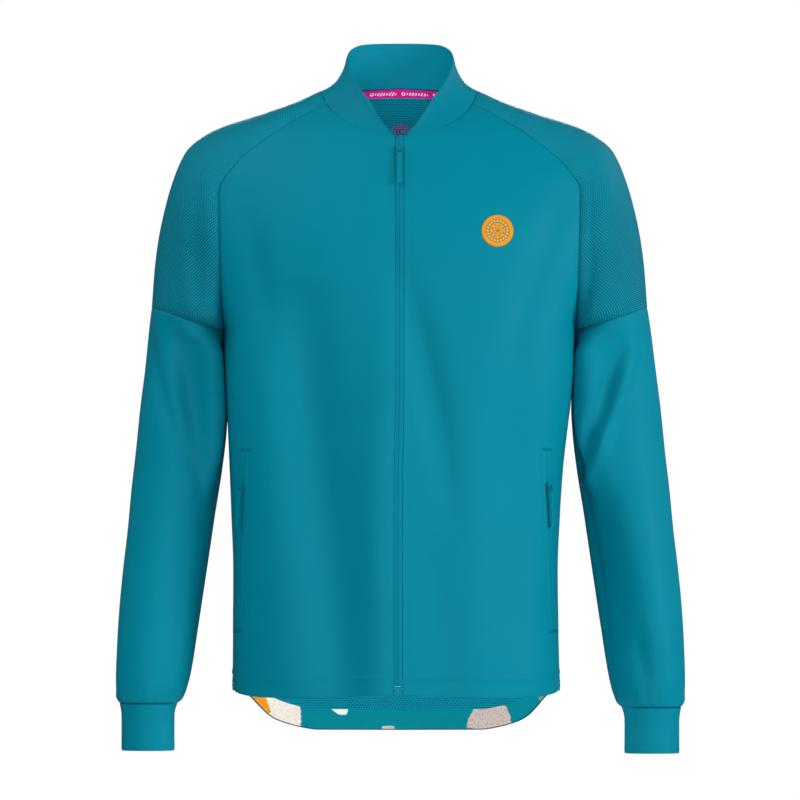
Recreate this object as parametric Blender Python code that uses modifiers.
"""Track jacket: a zipped raglan jacket with a standing collar, modelled as it is worn.

The cloth pieces are thin walls over two forms, the torso and the sleeve. The frame has its origin at
the centre of the neck base, at shoulder height: +Z is up, the front faces -Y and the wearer's left is
+X. Tables and sizes are in millimetres, and angles on the torso run from 0 at the front centre to pi
at the back centre.
"""
from math import cos, pi, radians, sin

import bmesh
import bpy
import numpy as np
from mathutils import Matrix, Vector

MM = 0.001
SHELL_WALL = 1.5
KNIT_WALL = 2.2
TAPE_WALL = 1.0
# Pieces stop this far apart at a seam. At the side seams it is half the gap, as an angle.
SEAM_GAP = 0.35
SIDE_GAP = 0.0018

FRONT_EDGE = 4.8
FRONT_NECK_HEIGHT = -54.0
UNDERARM_HEIGHT = -268.0
BACK_SQUARENESS = 2.3
# The centre lines have the same number of rows above this height as the raglan seams.
CENTRE_WAY_HEIGHT = -310.0
CUFF_TOP = -677.0
CUFF_BOTTOM = -731.0
SIDE_ROWS = 12
RAGLAN_ROWS = 11
# The front panel's first columns are this far in from its zip edge, and the rest are even.
FRONT_STEPS = (0.0, 8.0, 19.0, 32.0, 46.0)
FRONT_COLUMNS = 10
BACK_COLUMNS = 12
SLEEVE_HALF_COLUMNS = 8
LOWER_SLEEVE_ROWS = 12

# The torso at each height: half width at the sides, depth of the front and back from the origin,
# how far back the side line lies, how square the outline is (2 is an ellipse), and how far it hangs to
# the wearer's left.
TORSO_COLUMNS = ("height", "half_width", "front", "back", "side_y", "squareness", "sway")
TORSO = (
    (-720, 180.5, 112, 116, -20, 2.60, -3.4),
    (-664, 179.8, 112, 115, -20, 2.60, -3.6),
    (-590, 178.6, 114, 111, -20, 2.60, -4.2),
    (-530, 178.2, 116, 108, -20, 2.65, -4.4),
    (-470, 180.4, 118, 105, -20, 2.70, -4.2),
    (-420, 183.0, 119, 104, -20, 2.80, -3.5),
    (-376, 186.4, 119.5, 105, -20, 2.95, -2.0),
    (-330, 190.3, 119.5, 109, -20, 3.10, -0.4),
    (-300, 192.2, 119.5, 113, -19, 3.15, 0),
    (-285, 192.7, 119.5, 114, -11, 3.15, 0),
    (-268, 193.0, 119.5, 116, 0, 3.10, 0),
    (-240, 205.0, 119.0, 119, 1, 2.60, 0),
    (-210, 218.0, 117.5, 121, 2, 2.40, 0),
    (-170, 230.0, 113.0, 122, 3, 2.32, 0),
    (-130, 237.0, 102.0, 118, 4, 2.18, 0),
    (-100, 238.0, 90.0, 114, 5, 2.08, 0),
    (-75, 232.0, 77.0, 108, 5, 2.0, 0),
    (-54, 213.0, 64.5, 101, 5, 2.0, 0),
    (-42, 190.0, 54.5, 96, 5, 2.0, 0),
    (-28, 148.0, 40.0, 87, 5, 2.0, 0),
    (-15, 112.0, 24.0, 78, 5, 2.0, 0),
    (-5, 88.0, 12.0, 70, 5, 2.0, 0),
    (3, 70.0, 6.0, 66, 5, 2.0, 0),
)

# The raglan seam from the neck to the underarm, and the sleeve's cross-section that starts there. The
# section is two curves from the seam over the outer line of the arm: each has a lean at the seam (x, y,
# z) and a reach at the outer line, which is level with Y there. Along is the distance down the seam.
FRONT_SECTION_COLUMNS = ("along", "seam_x", "seam_z", "lean_x", "lean_y", "lean_z", "reach")
FRONT_SECTIONS = (
    (0, 81.0, -17.5, 3, 7, 7, 12),
    (36, 112.0, -34.5, 2, 8, 15, 20),
    (82, 148.0, -58.0, 3, 8, 22, 28),
    (125, 181.0, -86.5, 9, 0, 22, 38),
    (158, 198.0, -115.0, 15, -8, 14, 46),
    (243, 196.0, -200.0, 13, -14, 6, 62),
    (283, 195.0, -238.0, 6, -34, 2, 72),
    (323, 193.0, -268.0, 0, -76, 0, 76),
)
BACK_SECTION_COLUMNS = FRONT_SECTION_COLUMNS
BACK_SECTIONS = (
    (0, 72.0, -6.0, 6, -12, 1, 12),
    (36, 106.0, -25.0, 2, -10, 8, 20),
    (82, 146.0, -55.0, 3, -8, 20, 32),
    (125, 179.0, -88.0, 10, 0, 22, 42),
    (158, 197.0, -122.0, 14, 12, 14, 50),
    (243, 197.0, -200.0, 13, 14, 6, 66),
    (283, 195.5, -238.0, 6, 36, 2, 76),
    (323, 193.0, -268.0, 0, 82, 0, 84),
)
ARM_LINE_COLUMNS = ("along", "x", "y", "z")
ARM_LINE = (
    (0, 86.0, 6.0, -3.0),
    (36, 115.0, 5.0, -16.2),
    (82, 150.0, 5.0, -28.6),
    (125, 206.0, 5.0, -48.0),
    (158, 236.5, 5.0, -73.5),
    (243, 262.0, 5.0, -150.0),
    (283, 269.0, 4.0, -196.0),
    (323, 272.5, 3.0, -242.0),
)

# The sleeve below the underarm: the inner line of the arm at each height, the middle of the sleeve and
# how far its front and back reach. The outer line is met a little higher, by rise.
SLEEVE_COLUMNS = ("height", "inner_x", "middle_y", "front_reach", "back_reach", "rise")
SLEEVE = (
    (-268, 193.3, 1.5, 76, 84, 26),
    (-285, 192.7, 5, 76, 84, 24),
    (-300, 191.6, 9, 76, 82, 22),
    (-330, 189.8, 12, 76, 80, 19),
    (-352, 188.8, 13, 76, 78, 17),
    (-376, 190.0, 13, 75, 76, 15),
    (-420, 195.0, 11, 73, 73, 12),
    (-464, 202.0, 7, 70, 70, 10),
    (-508, 208.5, 2, 67, 66, 9),
    (-552, 215.0, -5, 63, 62, 8),
    (-596, 221.6, -12, 59, 58, 7),
    (-640, 228.5, -18, 53, 52, 4),
    (-662, 233.5, -20, 48, 47, 2),
    (-671, 238.0, -20, 43, 43, 1),
    (-676.5, 243.0, -20, 40, 40, 0),
    (-677, 246.0, -20, 38, 38, 0),
    (-684, 246.5, -20, 39, 39, 0),
    (-731, 247.0, -20, 40, 40, 0),
)
ARM_SWAY = 1.0
OUTER_LINE_COLUMNS = ("height", "x")
OUTER_LINE = (
    (-242, 272.5), (-266, 276.0), (-310, 281.0), (-354, 286.6), (-398, 291.0), (-442, 296.0),
    (-486, 300.0), (-530, 305.0), (-574, 309.0), (-618, 311.5), (-651, 312.5), (-668, 311.8),
    (-676.5, 309.5), (-677, 307.8), (-684, 307.5), (-731, 307.5),
)

# The neck seam at the front, seen from the front, from the zip to the raglan seam.
FRONT_NECK_COLUMNS = ("x", "z")
FRONT_NECK = ((4.8, -54.0), (31.0, -48.6), (53.0, -41.0), (72.0, -28.5), (81.0, -17.5))
BACK_NECK = ((0.0, 0.0), (42.0, -1.6), (60.0, -3.6), (72.0, -6.0))

# The collar's upper edge at each turn round the neck, in degrees from the front centre.
COLLAR_COLUMNS = ("turn", "x", "y", "z")
COLLAR_EDGE = (
    (0, 5.0, -64.4, -52.6),
    (8, 7.0, -63.0, -50.0),
    (25, 15.0, -59.3, -43.0),
    (43, 24.0, -53.4, -30.0),
    (62, 35.0, -44.0, -13.0),
    (73, 43.5, -33.0, -2.0),
    (82, 50.0, -20.0, 9.0),
    (91, 55.0, -4.0, 20.0),
    (105, 58.0, 16.0, 33.0),
    (119, 56.0, 35.0, 41.0),
    (141, 42.0, 52.0, 48.8),
    (165, 16.0, 61.0, 50.4),
    (180, 0.0, 62.0, 50.5),
)
NECK_CENTRE_Y = 5.0
COLLAR_SWAY = 0.8

FRONT_HEM_COLUMNS = ("degrees", "height")
FRONT_HEM = ((0, -666.0), (25, -669.0), (50, -668.5), (80, -664.0), (90, -662.0))
BACK_HEM_COLUMNS = ("x", "height")
BACK_HEM = (
    (0, -709.0), (90, -708.5), (112, -705.0), (134, -698.0), (144, -692.0), (154, -682.0),
    (166, -669.0), (181, -662.0),
)

# Soft folds. Each is a line seen from the front through three points (x, z), with the width of its
# flank and its depth, where less than 0 is a ridge. Face is -1 on the front and 1 on the back.
FOLD_COLUMNS = ("face", "x_a", "z_a", "x_b", "z_b", "x_c", "z_c", "width", "depth")
TORSO_FOLDS = (
    (-1, -12, -235, -20, -480, -21, -720, 22, -7.0),
    (-1, -118, -206, -102, -280, -88, -400, 42, 12.0),
    (-1, -104, -330, -74, -450, -62, -700, 32, 12.0),
    (-1, -154, -260, -140, -470, -128, -680, 26, -4.0),
    (-1, 0, -195, 34, -332, 60, -470, 19, 8.0),
    (-1, 36, -480, 48, -590, 60, -700, 26, 5.0),
    (-1, 128, -300, 124, -470, 114, -640, 30, 6.0),
    (-1, 176, -130, 150, -205, 126, -285, 17, 4.5),
    (-1, -170, -130, -156, -205, -150, -290, 16, 3.5),
    (1, -100, -220, -60, -380, -40, -560, 34, 8.0),
    (1, 96, -200, 84, -360, 44, -520, 30, 7.0),
    (1, -20, -420, 10, -540, 30, -660, 26, 6.0),
    (1, 120, -440, 112, -540, 116, -640, 28, 6.0),
)
SLEEVE_FOLDS = (
    (-1, -280, -262, -254, -350, -218, -440, 10, 7.5),
    (-1, -266, -300, -246, -370, -226, -430, 9, -4.5),
    (-1, -240, -230, -235, -300, -226, -385, 13, 9.0),
    (-1, -210, -280, -207, -340, -206, -400, 9, -3.5),
    (-1, -240, -470, -240, -560, -256, -640, 16, 4.0),
    (-1, 243, -282, 222, -350, 200, -408, 10, 7.5),
    (-1, 254, -288, 234, -360, 204, -430, 8, -5.5),
    (-1, 208, -430, 224, -540, 242, -630, 28, 10.0),
    (-1, 270, -440, 280, -540, 288, -640, 18, -4.5),
    (-1, 262, -600, 266, -630, 272, -655, 10, 3.5),
    (1, -262, -300, -240, -380, -212, -430, 13, 5.5),
    (1, -250, -430, -256, -540, -262, -630, 18, 4.5),
    (1, 262, -310, 236, -380, 214, -440, 13, 5.5),
    (1, 250, -440, 262, -540, 266, -620, 18, 4.5),
)
# How full the sleeve is at its inner front corner, where it lies against the torso.
CORNER_COLUMNS = ("height", "share")
CORNER = ((-268, 0.0), (-292, 1.0), (-380, 1.0), (-470, 0.0))

POCKET_TOP = (164.5, -402.0)
POCKET_BOTTOM = (173.0, -592.0)
POCKET_SLIDER_HEIGHT = -438.0
BADGE_CENTRE = (107.0, -158.5)
BADGE_RADIUS = 17.5
BADGE_WALL = 0.8
ZIP_TOP = -57.0
ZIP_BOTTOM = -655.0
ZIP_SLIDER_HEIGHT = -70.5
# How far each half of the coil stands from the middle: joined below the slider, spread above it.
ZIP_EDGE_COLUMNS = ("height", "x")
ZIP_EDGE = ((-655, 0.25), (-73, 0.25), (-68, 0.9), (-63, 1.6), (-57, 1.9))


def through(rows, where, column=1, key=0):
    """A smooth curve through one column of a table, with no overshoot."""
    keys = np.array([row[key] for row in rows], float)
    values = np.array([row[column] for row in rows], float)
    if keys[0] > keys[-1]:
        keys = keys[::-1]
        values = values[::-1]
    step = np.diff(keys)
    slope = np.diff(values) / step
    tangent = np.concatenate([slope[:1], slope[1:], slope[-1:]])
    before = slope[:-1]
    after = slope[1:]
    same_way = before * after > 0
    tangent[1:-1] = np.where(same_way, 2 * before * after / np.where(same_way, before + after, 1), 0)
    where = np.clip(np.asarray(where, float), keys[0], keys[-1])
    i = np.clip(np.searchsorted(keys, where) - 1, 0, len(keys) - 2)
    t = (where - keys[i]) / step[i]
    return (
        (1 + 2 * t) * (1 - t) ** 2 * values[i]
        + t * (1 - t) ** 2 * step[i] * tangent[i]
        + t * t * (3 - 2 * t) * values[i + 1]
        + t * t * (t - 1) * step[i] * tangent[i + 1]
    )


def row_at(rows, where):
    return [through(rows, where, column) for column in range(1, len(rows[0]))]


def torso_size(name, height):
    return through(TORSO, height, TORSO_COLUMNS.index(name))


def seam_size(name, rows, along):
    return through(rows, along, FRONT_SECTION_COLUMNS.index(name))


def fold_depth(folds, x, z, face):
    """How far the folds push a point in, given how it is seen from the front."""
    total = np.zeros(np.broadcast(x, z).shape)
    for fold_face, x_a, z_a, x_b, z_b, x_c, z_c, width, depth in folds:
        along = (z - z_a) / (z_c - z_a)
        t = np.clip(along, 0, 1)
        middle_x = 2 * x_b - (x_a + x_c) / 2
        line_x = (1 - t) ** 2 * x_a + 2 * t * (1 - t) * middle_x + t * t * x_c
        fade = np.exp(-((np.abs(along - t) * abs(z_c - z_a) / (1.5 * width)) ** 2))
        fade = fade * (0.35 + 0.65 * np.sin(pi * np.clip(t, 0.02, 0.98)) ** 0.7)
        total = total + np.where(face == fold_face, depth * fade, 0) * np.exp(-(((x - line_x) / width) ** 2))
    return total


def squareness(height, in_front):
    """How square the torso is. The back is never as square as the chest."""
    square = torso_size("squareness", height)
    return np.where(in_front, square, np.minimum(square, BACK_SQUARENESS))


def torso_form(angle, height):
    """The smooth torso, with no folds, for the wearer's left side."""
    half_width, front, back, side_y = row_at(TORSO, height)[:4]
    in_front = np.cos(angle) > 0
    power = 2 / squareness(height, in_front)
    across = np.abs(np.sin(angle)) ** power
    facing = np.abs(np.cos(angle)) ** power
    y = side_y * (1 - facing) ** 3 + np.where(in_front, -front, back) * facing
    return np.stack(np.broadcast_arrays(half_width * across, y, height), -1)


def torso_angle(x, height, face=-1):
    """The angle of the point that is this far out from the middle at a height, on the front or back."""
    share = np.clip(np.abs(x) / torso_size("half_width", height), 0, 1)
    angle = np.arcsin(share ** (squareness(height, face < 0) / 2))
    return angle if face < 0 else pi - angle


def unit(vectors):
    return vectors / np.maximum(np.linalg.norm(vectors, axis=-1, keepdims=True), 1e-9)


def torso_normal(angle, height):
    turn = torso_form(np.minimum(angle + 0.01, pi - 1e-4), height)
    turn = turn - torso_form(np.maximum(angle - 0.01, 1e-4), height)
    rise = torso_form(angle, height + 2) - torso_form(angle, height - 2)
    return unit(np.cross(turn, rise))


def torso(side, angle, height, out=0.0):
    """A point on the outside of the torso, folds included, moved out by a distance."""
    angle = np.asarray(angle, float)
    height = np.asarray(height, float)
    point = torso_form(angle, height)
    normal = torso_normal(angle, height)
    face = np.where(np.cos(angle) > 0, -1, 1)
    away_from_side = np.clip(np.abs(np.cos(angle)) * 2.2, 0, 1) ** 2
    below_yoke = np.clip((-height - 60) / 60, 0, 1)
    depth = fold_depth(TORSO_FOLDS, side * point[..., 0], height, face) * away_from_side * below_yoke
    point = point + normal * (out - depth)[..., None]
    sideways = np.sin(np.minimum(angle, pi))
    weight = np.where(face < 0, 0.4 + 0.6 * sideways, sideways ** 6)
    point = point * np.array([side, 1, 1])
    point[..., 0] += torso_size("sway", height) * weight
    return point


def along_rows(rows, count):
    """Even steps along the raglan seam, from the underarm up to the neck."""
    return np.linspace(rows[-1][0], rows[0][0], count + 1)


def seam_point(side, rows, face, along):
    x = seam_size("seam_x", rows, along)
    z = seam_size("seam_z", rows, along)
    return torso(side, torso_angle(x, z, face), z)


def patch(bottom, top, left, right):
    """The inside of four edges that meet at their corners."""
    u = np.linspace(0, 1, len(bottom))[None, :, None]
    v = np.linspace(0, 1, len(left))[:, None, None]
    return (
        (1 - v) * bottom[None] + v * top[None] + (1 - u) * left[:, None] + u * right[:, None]
        - (1 - u) * (1 - v) * bottom[0] - u * (1 - v) * bottom[-1]
        - (1 - u) * v * top[0] - u * v * top[-1]
    )


def panel_edges(side_bottom, centre_bottom, centre_top, sections, face):
    """A torso panel's centre edge as heights, and its outer edge as pairs of angle and height."""
    below = np.linspace(side_bottom, UNDERARM_HEIGHT, SIDE_ROWS + 1)[:-1]
    along = along_rows(sections, RAGLAN_ROWS)
    seam_z = seam_size("seam_z", sections, along)
    seam_angle = torso_angle(seam_size("seam_x", sections, along), seam_z, face)
    seam_angle[0] = pi / 2
    outer = np.concatenate([
        np.stack([np.full(SIDE_ROWS, pi / 2), below], -1),
        np.stack([seam_angle, seam_z], -1),
    ])
    centre = np.concatenate([
        np.linspace(centre_bottom, CENTRE_WAY_HEIGHT, SIDE_ROWS + 1)[:-1],
        np.linspace(CENTRE_WAY_HEIGHT, centre_top, RAGLAN_ROWS + 1),
    ])
    return centre, outer


def even_angles(first, height):
    """Angles from the first one to the side, evenly spaced round the front at a height."""
    fine = np.linspace(first, pi / 2, 2001)
    lengths = np.linalg.norm(np.diff(torso_form(fine, height), axis=0), axis=1)
    along = np.concatenate([[0], np.cumsum(lengths)])
    return np.interp(np.linspace(0, along[-1], FRONT_COLUMNS + 1), along, fine)


def neck_columns():
    """How far out each column of the front panel is at its neck edge."""
    near = FRONT_EDGE + np.array(FRONT_STEPS)
    return np.concatenate([near[:-1], np.linspace(near[-1], FRONT_NECK[-1][0], FRONT_COLUMNS + 1)])


def front_grid():
    """The wearer's left front panel, from the zip out, as pairs of angle and height."""
    centre, outer = panel_edges(FRONT_HEM[-1][1], FRONT_HEM[0][1], FRONT_NECK_HEIGHT, FRONT_SECTIONS, -1)
    up = (centre - centre[0]) / (centre[-1] - centre[0])
    columns = []
    for x in FRONT_EDGE + np.array(FRONT_STEPS):
        low = through(FRONT_HEM, np.degrees(torso_angle(x, FRONT_HEM[0][1])))
        height = low + (through(FRONT_NECK, x) - low) * up
        columns.append(np.stack([torso_angle(x, height), height], -1))
    left = columns.pop()
    angles = even_angles(left[0, 0], -420.0)
    bottom = np.stack([angles, through(FRONT_HEM, np.degrees(angles))], -1)
    bottom[0] = left[0]
    x = neck_columns()[len(columns):]
    z = through(FRONT_NECK, x)
    top = np.stack([torso_angle(x, z), z], -1)
    return np.concatenate([np.stack(columns, axis=1), patch(bottom, top, left, outer)], axis=1)


def back_grid():
    """The wearer's left half of the back, from the centre out, as pairs of angle and height."""
    centre, outer = panel_edges(BACK_HEM[-1][1], BACK_HEM[0][1], BACK_NECK[0][1], BACK_SECTIONS, 1)
    left = np.stack([np.full(len(centre), pi), centre], -1)
    x = np.linspace(0, 1, BACK_COLUMNS + 1) ** 0.85 * BACK_HEM[-1][0]
    z = through(BACK_HEM, x)
    bottom = np.stack([torso_angle(x, z, 1), z], -1)
    bottom[0] = left[0]
    bottom[-1] = outer[0]
    x = np.linspace(0, BACK_NECK[-1][0], BACK_COLUMNS + 1)
    z = through(BACK_NECK, x)
    top = np.stack([torso_angle(x, z, 1), z], -1)
    return patch(bottom, top, left, outer)


def bezier(a, b, c, d, t):
    """A point on a cubic curve from a to d, led by b and c."""
    return (1 - t) ** 3 * a + 3 * t * (1 - t) ** 2 * b + 3 * t * t * (1 - t) * c + t ** 3 * d


def section(front, front_lean, outer, front_reach, back, back_lean, back_reach, steps, gap):
    """A sleeve section as a row of points, from the front seam over the arm to the back seam."""
    flip = np.array([0.0, 1.0, 0.0])
    first = gap / (3 * np.linalg.norm(front_lean))
    last = gap / (3 * np.linalg.norm(back_lean))
    points = []
    for t in np.linspace(first, 1, steps + 1):
        points.append(bezier(front, front + front_lean, outer - front_reach * flip, outer, t))
    for t in np.linspace(1, last, steps + 1)[1:]:
        points.append(bezier(back, back + back_lean, outer + back_reach * flip, outer, t))
    return np.array(points)


def raglan_section(side, along, steps=SLEEVE_HALF_COLUMNS, gap=SEAM_GAP):
    """The upper sleeve's section at a distance down the raglan seams."""
    turn = np.array([side, 1.0, 1.0])
    front_row = row_at(FRONT_SECTIONS, along)
    back_row = row_at(BACK_SECTIONS, along)
    front = seam_point(side, FRONT_SECTIONS, -1, along)
    back = seam_point(side, BACK_SECTIONS, 1, along)
    outer = np.array(row_at(ARM_LINE, along)) * turn
    front_lean = np.array(front_row[2:5]) * turn
    back_lean = np.array(back_row[2:5]) * turn
    return section(front, front_lean, outer, front_row[5], back, back_lean, back_row[5], steps, gap)


def ring(side, height, steps=SLEEVE_HALF_COLUMNS):
    """The sleeve's closed section at a height of its inner line."""
    turn = np.array([side, 1.0, 1.0])
    inner_x, middle_y, front_reach, back_reach, rise = row_at(SLEEVE, height)
    inner = np.array([inner_x, middle_y, height]) * turn
    outer = np.array([through(OUTER_LINE, height + rise), middle_y, height + rise]) * turn
    outer[0] += ARM_SWAY * np.clip((-268 - height) / 60, 0, 1)
    ahead = np.array([0.0, -front_reach, 0.0])
    behind = np.array([0.0, back_reach, 0.0])
    points = section(inner, ahead, outer, front_reach, inner, behind, back_reach, steps, 0.0)[:-1]
    middle = (inner + outer) / 2
    across = np.abs(points[:, 0] - middle[0]) / abs(outer[0] - middle[0])
    forward = np.clip((middle_y - points[:, 1]) / (0.75 * front_reach), 0, 1)
    stretch = np.maximum(across ** 8 + forward ** 8, 0.01) ** -0.125
    onset = np.clip((forward - 0.3) / 0.4, 0, 1)
    share = onset * onset * (3 - 2 * onset) * through(CORNER, height)
    share = np.where(side * points[:, 0] < side * middle[0], share, 0)
    return middle + (points - middle) * (1 + (stretch - 1) * share)[:, None]


def press(grid, folds, fade_rows):
    """A tube's grid with folds pressed in along its normals, fading towards its first and last rows."""
    across = np.roll(grid, -1, axis=1) - np.roll(grid, 1, axis=1)
    down = np.gradient(grid, axis=0)
    normal = unit(np.cross(across, down))
    outward = np.sign((normal * (grid - grid.mean(axis=1, keepdims=True))).sum(-1).mean())
    face = np.where(grid[..., 1] > grid.mean(axis=1, keepdims=True)[..., 1], 1, -1)
    depth = fold_depth(folds, grid[..., 0], grid[..., 2], face)
    rows = np.arange(len(grid), dtype=float)
    fade = np.clip(np.minimum(rows / fade_rows, (len(grid) - 1 - rows) / fade_rows), 0, 1)
    return grid - normal * outward * (depth * fade[:, None])[..., None]


def upper_sleeve_grid(side):
    along = along_rows(FRONT_SECTIONS, RAGLAN_ROWS)[::-1]
    rows = np.array([raglan_section(side, a) for a in along])
    rows[-1] = rows[-1] + np.array([0, 0, SEAM_GAP])
    return rows


def lower_sleeve_grid(side):
    heights = np.concatenate([
        np.linspace(UNDERARM_HEIGHT, -640, LOWER_SLEEVE_ROWS - 2),
        [-660.0, -671.0, CUFF_TOP + SEAM_GAP],
    ])
    return press(np.array([ring(side, h) for h in heights]), SLEEVE_FOLDS, 1.5)


def cuff_grid(side):
    return np.array([ring(side, h) for h in (CUFF_TOP, -690.0, CUFF_BOTTOM)])


def neck_seam(side):
    """The neck seam of one side, from the front centre round to the back centre."""
    x = neck_columns()
    z = through(FRONT_NECK, x)
    front = torso(side, torso_angle(x, z), z)
    sleeve = raglan_section(side, 0, SLEEVE_HALF_COLUMNS, 0.0)
    x = np.linspace(BACK_NECK[-1][0], 0, BACK_COLUMNS + 1)
    z = through(BACK_NECK, x)
    back = torso(side, torso_angle(x, z, 1), z)
    return np.concatenate([front, sleeve[1:-1], back])


def collar_half(side):
    base = neck_seam(side) + np.array([0, 0, SEAM_GAP])
    turn = np.degrees(np.arctan2(np.abs(base[:, 0]), NECK_CENTRE_Y - base[:, 1]))
    edge = np.stack([COLLAR_SWAY + side * through(COLLAR_EDGE, turn, 1), through(COLLAR_EDGE, turn, 2),
                     through(COLLAR_EDGE, turn, 3)], -1)
    bend = base + (edge - base) * np.array([0.62, 0.62, 0.30])
    rows = [(1 - t) ** 2 * base + 2 * t * (1 - t) * bend + t * t * edge for t in (0, 0.45, 1)]
    return np.array(rows)


def new_material(name, colour, roughness, metallic=0.0):
    made = bpy.data.materials.new(name)
    made.use_nodes = True
    shader = made.node_tree.nodes["Principled BSDF"]
    shader.inputs["Base Color"].default_value = (*colour, 1)
    shader.inputs["Roughness"].default_value = roughness
    shader.inputs["Metallic"].default_value = metallic
    made.diffuse_color = (*colour, 1)
    return made


def placed(name, mesh, look, where=Matrix()):
    made = bpy.data.objects.new(name, mesh)
    made.data.materials.append(look)
    made.matrix_world = where
    jacket.objects.link(made)
    return made


def new_object(name, vertices, faces, look):
    mesh = bpy.data.meshes.new(name)
    mesh.from_pydata([tuple(float(c) * MM for c in v) for v in vertices], [], faces)
    return placed(name, mesh, look)


def thicken(made, wall):
    """Gives an open surface a wall on its inner side, shaded smooth."""
    made.data.shade_smooth()
    thickness = made.modifiers.new("wall", "SOLIDIFY")
    thickness.thickness = wall * MM
    thickness.offset = -1


def cloth(name, grid, wall, look, closed=False):
    """A thin wall under a grid of points on its outside."""
    rows, columns = grid.shape[:2]
    across = columns if closed else columns - 1
    faces = []
    for i in range(rows - 1):
        for j in range(across):
            k = (j + 1) % columns
            faces.append((i * columns + j, i * columns + k, (i + 1) * columns + k, (i + 1) * columns + j))
    middle = grid.mean(axis=1, keepdims=True)
    normal = np.cross(grid[1:, 1:] - grid[:-1, :-1], grid[1:, :-1] - grid[:-1, 1:])
    if (normal * (grid - middle)[:-1, :-1]).sum() < 0:
        faces = [face[::-1] for face in faces]
    thicken(new_object(name, grid.reshape(-1, 3), faces, look), wall)


def swept(name, sections, look):
    """A solid through a row of closed sections with the same number of corners."""
    count = len(sections[0])
    vertices = [corner for section in sections for corner in section]
    faces = [tuple(range(count))[::-1], tuple(range(len(vertices) - count, len(vertices)))]
    for i in range(len(sections) - 1):
        for j in range(count):
            k = (j + 1) % count
            faces.append((i * count + j, i * count + k, (i + 1) * count + k, (i + 1) * count + j))
    made = new_object(name, vertices, faces, look)
    shape = bmesh.new()
    shape.from_mesh(made.data)
    bmesh.ops.recalc_face_normals(shape, faces=shape.faces)
    shape.to_mesh(made.data)
    shape.free()


def box(name, low, high, look, where):
    low = Vector(low) * MM
    high = Vector(high) * MM
    shape = bmesh.new()
    bmesh.ops.create_cube(shape, size=1)
    bmesh.ops.scale(shape, verts=shape.verts, vec=high - low)
    bmesh.ops.translate(shape, verts=shape.verts, vec=(high + low) / 2)
    mesh = bpy.data.meshes.new(name)
    shape.to_mesh(mesh)
    shape.free()
    return placed(name, mesh, look, where)


def bridge_over(name, inner, outer, legs, half_width, look, where):
    """A slider's bridge: the flat outline of a half ring on two legs, thickened along X. Out is -Y."""
    turns = np.linspace(0, pi, 9)
    outside = [(outer * cos(t), outer * sin(t)) for t in turns]
    inside = [(inner * cos(t), inner * sin(t)) for t in turns[::-1]]
    outline = [(outer, -legs)] + outside + [(-outer, -legs), (-inner, -legs)] + inside + [(inner, -legs)]
    curve = bpy.data.curves.new(name, "CURVE")
    curve.dimensions = "2D"
    curve.fill_mode = "BOTH"
    curve.extrude = half_width * MM
    spline = curve.splines.new("POLY")
    spline.points.add(len(outline) - 1)
    for corner, (up, out) in zip(spline.points, outline):
        corner.co = (up * MM, out * MM, 0, 1)
    spline.use_cyclic_u = True
    drawn = bpy.data.objects.new(name, curve)
    jacket.objects.link(drawn)
    bpy.context.view_layer.update()
    mesh = bpy.data.meshes.new_from_object(drawn.evaluated_get(bpy.context.evaluated_depsgraph_get()))
    bpy.data.objects.remove(drawn)
    # The outline's up and out become Z and -Y.
    mesh.transform(Matrix(((0, 0, 1, 0), (0, -1, 0, 0), (1, 0, 0, 0), (0, 0, 0, 1))))
    shape = bmesh.new()
    shape.from_mesh(mesh)
    bmesh.ops.remove_doubles(shape, verts=shape.verts, dist=0.00001)
    bmesh.ops.recalc_face_normals(shape, faces=shape.faces)
    shape.to_mesh(mesh)
    shape.free()
    return placed(name, mesh, look, where)


def unite(pieces, bevel):
    """Joins overlapping pieces into the first of them, with softened edges."""
    body = pieces[0]
    for other in pieces[1:]:
        join = body.modifiers.new("join", "BOOLEAN")
        join.operation = "UNION"
        join.solver = "EXACT"
        join.object = other
    bpy.context.view_layer.update()
    joined = bpy.data.meshes.new_from_object(body.evaluated_get(bpy.context.evaluated_depsgraph_get()))
    body.modifiers.clear()
    body.data = joined
    for other in pieces[1:]:
        bpy.data.objects.remove(other)
    soften = body.modifiers.new("soft edges", "BEVEL")
    soften.width = bevel * MM
    soften.segments = 1
    soften.limit_method = "ANGLE"
    soften.angle_limit = radians(40)


def frame_on_torso(side, angle, height, down, lift=0.0):
    """Axes on the cloth: Z runs up against the given direction, -Y out of the cloth, and X across."""
    point = torso(side, angle, height)
    out = torso_normal(angle, height) * np.array([side, 1, 1])
    if angle < 0.01:
        point[0] = 0.4 * torso_size("sway", height)
        out = unit(out * np.array([0, 1, 1]))
    down = unit(down - out * np.dot(down, out))
    across = np.cross(-out, -down)
    point = point + out * lift
    axes = Matrix(((across[0], -out[0], -down[0], 0), (across[1], -out[1], -down[1], 0),
                   (across[2], -out[2], -down[2], 0), (0, 0, 0, 1)))
    return Matrix.Translation(Vector([float(c) * MM for c in point])) @ axes


def front_panels():
    for word, side in SIDES:
        grid = front_grid()
        grid[:, -1, 0] = grid[:, -1, 0] - SIDE_GAP
        cloth("front_" + word, torso(side, grid[..., 0], grid[..., 1]), SHELL_WALL, shell)


def sleeves():
    for word, side in SIDES:
        cloth("upper_sleeve_" + word, upper_sleeve_grid(side), SHELL_WALL, mesh_knit)
        cloth("lower_sleeve_" + word, lower_sleeve_grid(side), SHELL_WALL, shell, closed=True)
        cloth("cuff_" + word, cuff_grid(side), KNIT_WALL, trim_knit, closed=True)


def both_halves(rows, lift=0.0):
    """The points of a strip across the whole back, from the rows of its left half."""
    left = torso(1, rows[..., 0], rows[..., 1], lift)
    right = torso(-1, rows[..., 0], rows[..., 1], lift)
    return np.concatenate([right[:, :0:-1], left], axis=1)


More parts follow.
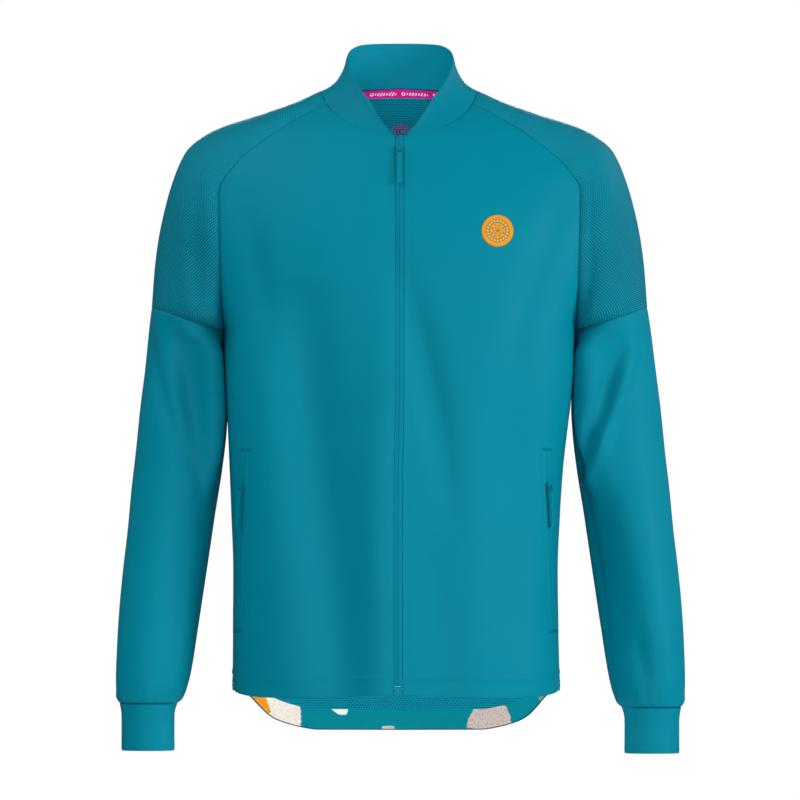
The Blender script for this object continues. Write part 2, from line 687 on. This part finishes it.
def inside_back(edge, inner, shares):
    """A strip on the inside of the back, between two rows of its grid, stopping short of the sides."""
    rows = np.array([edge * (1 - share) + inner * share for share in shares])[:, :-1]
    return both_halves(rows, -(SHELL_WALL + SEAM_GAP))


def back_and_its_strips():
    """The back, the facing along its hem on the inside, and the tape along its neck on the inside."""
    half = back_grid()
    half[:, -1, 0] = half[:, -1, 0] + SIDE_GAP
    cloth("back", both_halves(half), SHELL_WALL, mesh_knit)
    cloth("hem_facing", inside_back(half[0], half[1], (0.03, 0.38, 0.73)), TAPE_WALL, print_cloth)
    cloth("neck_tape", inside_back(half[-1], half[-2], (0.06, 0.75)), TAPE_WALL, pink_tape)


def collar():
    points = np.concatenate([collar_half(-1)[:, :-1], collar_half(1)[:, ::-1]], axis=1)
    cloth("collar", points, KNIT_WALL, trim_knit)


def zip_sides():
    """Each side of the front zip: a tape behind the panel, with half of the coil along its edge."""
    panel_heights = front_grid()[:, 0, 1]
    between = panel_heights[(panel_heights > ZIP_BOTTOM + 4) & (panel_heights < ZIP_TOP - 20)]
    heights = np.concatenate([[ZIP_TOP, -63.0, -68.0, -73.0], between[::-1], [ZIP_BOTTOM]])
    edges = through(ZIP_EDGE, heights)
    tape_front = -(SHELL_WALL + 0.9)
    tape_back = tape_front - 0.8
    for word, side in SIDES:
        corners = []
        for height, edge in zip(heights, edges):
            outline = ((edge, tape_back), (11.0, tape_back), (11.0, tape_front), (edge + 2.3, tape_front),
                       (edge + 2.1, -0.3), (edge + 1.4, 0.0), (edge + 0.5, 0.0), (edge, -0.3))
            corners.append([torso(side, torso_angle(x, height), height, lift) for x, lift in outline])
        swept("zip_side_" + word, corners, coil)


def pull(name, length, half_width, where):
    """A long pull with an eye at its top. Its own origin is the middle of the bar that turns."""
    bar = box(name, (-half_width, -0.55, -0.55), (half_width, 0.55, 0.55), trim, where)
    left = box("arm", (-half_width, -0.55, -5), (-1.5, 0.55, 0.3), trim, where)
    right = box("arm", (1.5, -0.55, -5), (half_width, 0.55, 0.3), trim, where)
    tab = box("tab", (-half_width, -0.7, -length), (half_width, 0.7, -4.4), trim, where)
    unite([bar, left, right, tab], 0.15)


def front_slider():
    """The slider at the top of the zip with its pull, and the box at the zip's lower end."""
    down = (torso(1, 1e-3, -110.0) - torso(1, 1e-3, ZIP_TOP)) * np.array([0, 1, 1])
    seat = frame_on_torso(1, 1e-3, ZIP_SLIDER_HEIGHT, down)
    axis_lift = 3.5
    turning = seat @ Matrix.Translation((0, -axis_lift * MM, 0))
    plate = box("zip_slider", (-4.2, -2.1, -6.0), (4.2, -0.45, 6.0), trim, seat)
    post = box("post", (-0.8, -1.0, 3.4), (0.8, 4.0, 5.6), trim, seat)
    under = box("under", (-3.8, 3.5, -4.0), (3.8, 4.7, 5.8), trim, seat)
    bridge = bridge_over("bridge", 1.7, 2.7, axis_lift - 1.6, 0.9, trim, turning)
    unite([plate, post, under, bridge], 0.2)
    pull("zip_pull", 43.0, 2.75, turning)
    end = frame_on_torso(1, 1e-3, -660.5, np.array([0.0, 0.0, -1.0]))
    box("zip_box", (-3.9, -0.6, -4.8), (3.9, 3.0, 4.8), trim, end)


def pockets():
    """Each side pocket: a raised welt with the coil along it, and a slider and pull near its top."""
    heights = np.linspace(POCKET_TOP[1], POCKET_BOTTOM[1], 15)
    middles = np.linspace(POCKET_TOP[0], POCKET_BOTTOM[0], 15)
    outline = ((-3.2, 0.6), (-1.2, 0.6), (1.2, 0.6), (3.2, 0.6), (3.0, 1.5), (0.9, 1.7), (0.7, 2.2),
               (-0.7, 2.2), (-0.9, 1.7), (-3.0, 1.5))
    slider_x = np.interp(-POCKET_SLIDER_HEIGHT, -heights, middles)
    for word, side in SIDES:
        corners = [[torso(side, torso_angle(x + across, height), height, lift) for across, lift in outline]
                   for x, height in zip(middles, heights)]
        swept("pocket_welt_" + word, corners, coil)
        down = corners[6][6] - corners[2][6]
        angle = torso_angle(slider_x, POCKET_SLIDER_HEIGHT)
        seat = frame_on_torso(side, angle, POCKET_SLIDER_HEIGHT, down, 2.2 + SEAM_GAP)
        turning = seat @ Matrix.Translation((0, -3.0 * MM, 0))
        plate = box("pocket_slider_" + word, (-3.4, -1.5, -5.0), (3.4, 0.0, 5.0), trim, seat)
        bridge = bridge_over("bridge", 1.5, 2.4, 1.8, 0.9, trim, turning)
        unite([plate, bridge], 0.2)
        pull("pocket_pull_" + word, 44.0, 2.4, turning)


def chest_badge():
    """A thin disc on the wearer's left chest, curved to the panel."""
    shape = bmesh.new()
    bmesh.ops.create_circle(shape, cap_ends=True, cap_tris=True, radius=BADGE_RADIUS, segments=24)
    bmesh.ops.subdivide_edges(shape, edges=shape.edges, cuts=1, use_grid_fill=True)
    for corner in shape.verts:
        x = BADGE_CENTRE[0] + corner.co.x
        z = BADGE_CENTRE[1] + corner.co.y
        corner.co = Vector(torso(1, torso_angle(x, z), z, SEAM_GAP + BADGE_WALL)) * MM
    mesh = bpy.data.meshes.new("chest_badge")
    shape.to_mesh(mesh)
    shape.free()
    thicken(placed("chest_badge", mesh, badge_face), BADGE_WALL)


for old in list(bpy.data.objects):
    bpy.data.objects.remove(old)
jacket = bpy.data.collections.new("track_jacket")
bpy.context.scene.collection.children.link(jacket)

shell = new_material("shell_fabric", (0.012, 0.190, 0.275), 0.62)
mesh_knit = new_material("mesh_knit", (0.008, 0.140, 0.205), 0.75)
trim_knit = new_material("trim_knit", (0.010, 0.185, 0.270), 0.80)
pink_tape = new_material("neck_tape_weave", (0.650, 0.010, 0.215), 0.70)
print_cloth = new_material("printed_facing", (0.250, 0.320, 0.300), 0.75)
badge_face = new_material("badge_print", (0.870, 0.320, 0.020), 0.50)
coil = new_material("zip_tape_and_coil", (0.006, 0.170, 0.235), 0.50)
trim = new_material("slider_enamel", (0.010, 0.190, 0.260), 0.40)

SIDES = (("right", -1), ("left", 1))

front_panels()
sleeves()
back_and_its_strips()
collar()
zip_sides()
front_slider()
pockets()
chest_badge()
